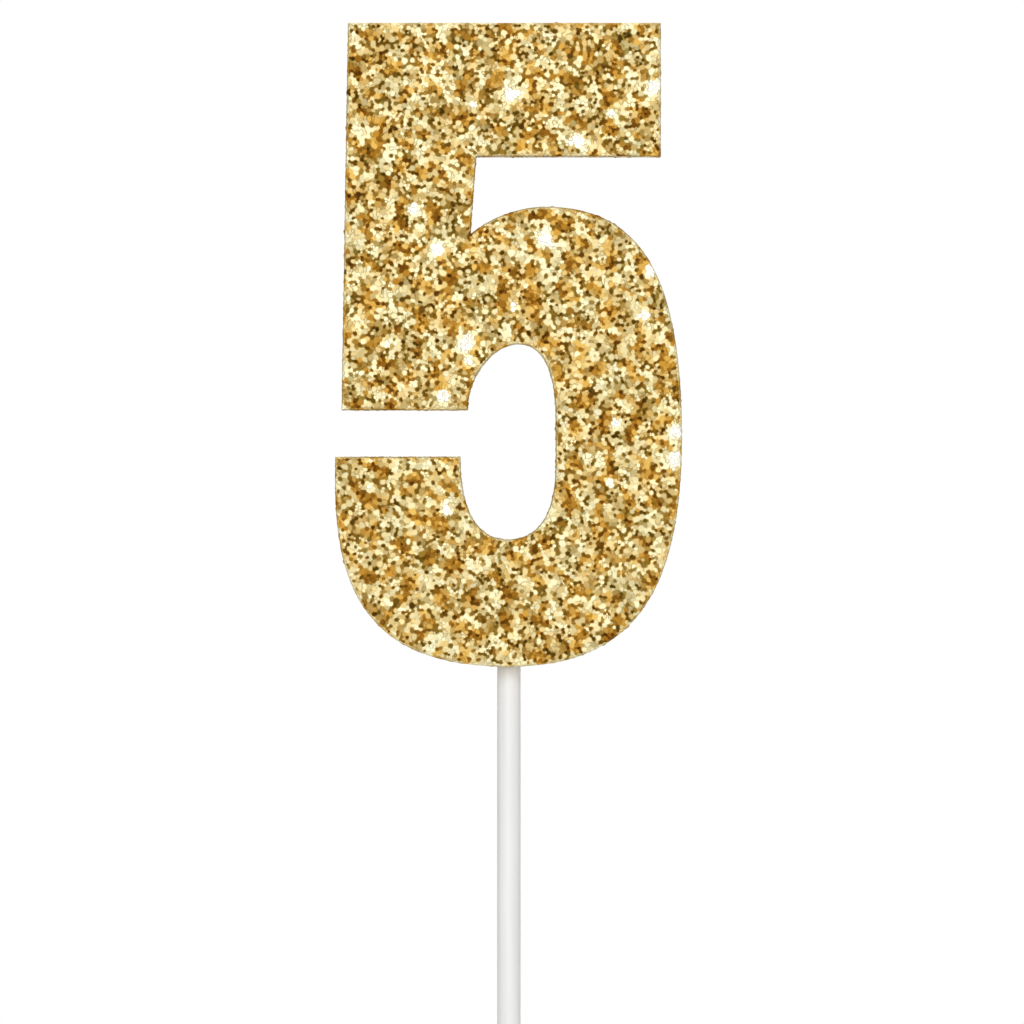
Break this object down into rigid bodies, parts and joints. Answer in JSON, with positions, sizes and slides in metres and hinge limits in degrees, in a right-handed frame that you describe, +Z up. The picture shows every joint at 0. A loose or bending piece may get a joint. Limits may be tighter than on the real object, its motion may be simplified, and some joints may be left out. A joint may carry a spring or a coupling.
{
  "type": "number birthday candle",
  "caption": "Moulded wax numeral candle in the shape of a five, with a gold glitter coat, standing on a slim white stick that pushes into a cake.",
  "frame": {"origin": "centre of the flat lower end of the stick", "axes": "+Z up along the stick, front of the numeral faces -Y, +X to the right as the numeral is read"},
  "size_m": [0.0377, 0.008, 0.13],
  "materials": {
    "wax": "moulded paraffin wax, tinted gold, satin",
    "glitter": "gold glitter flakes in clear lacquer, sparkling",
    "wick": "braided cotton, waxed",
    "stick": "white moulded plastic, satin"
  },
  "bodies": {
    "root": {"wax_body": "wax", "glitter_front": "glitter", "glitter_back": "glitter", "glitter_edge": "glitter", "wick": "wick", "stick": "stick"}
  },
  "joints": []
}
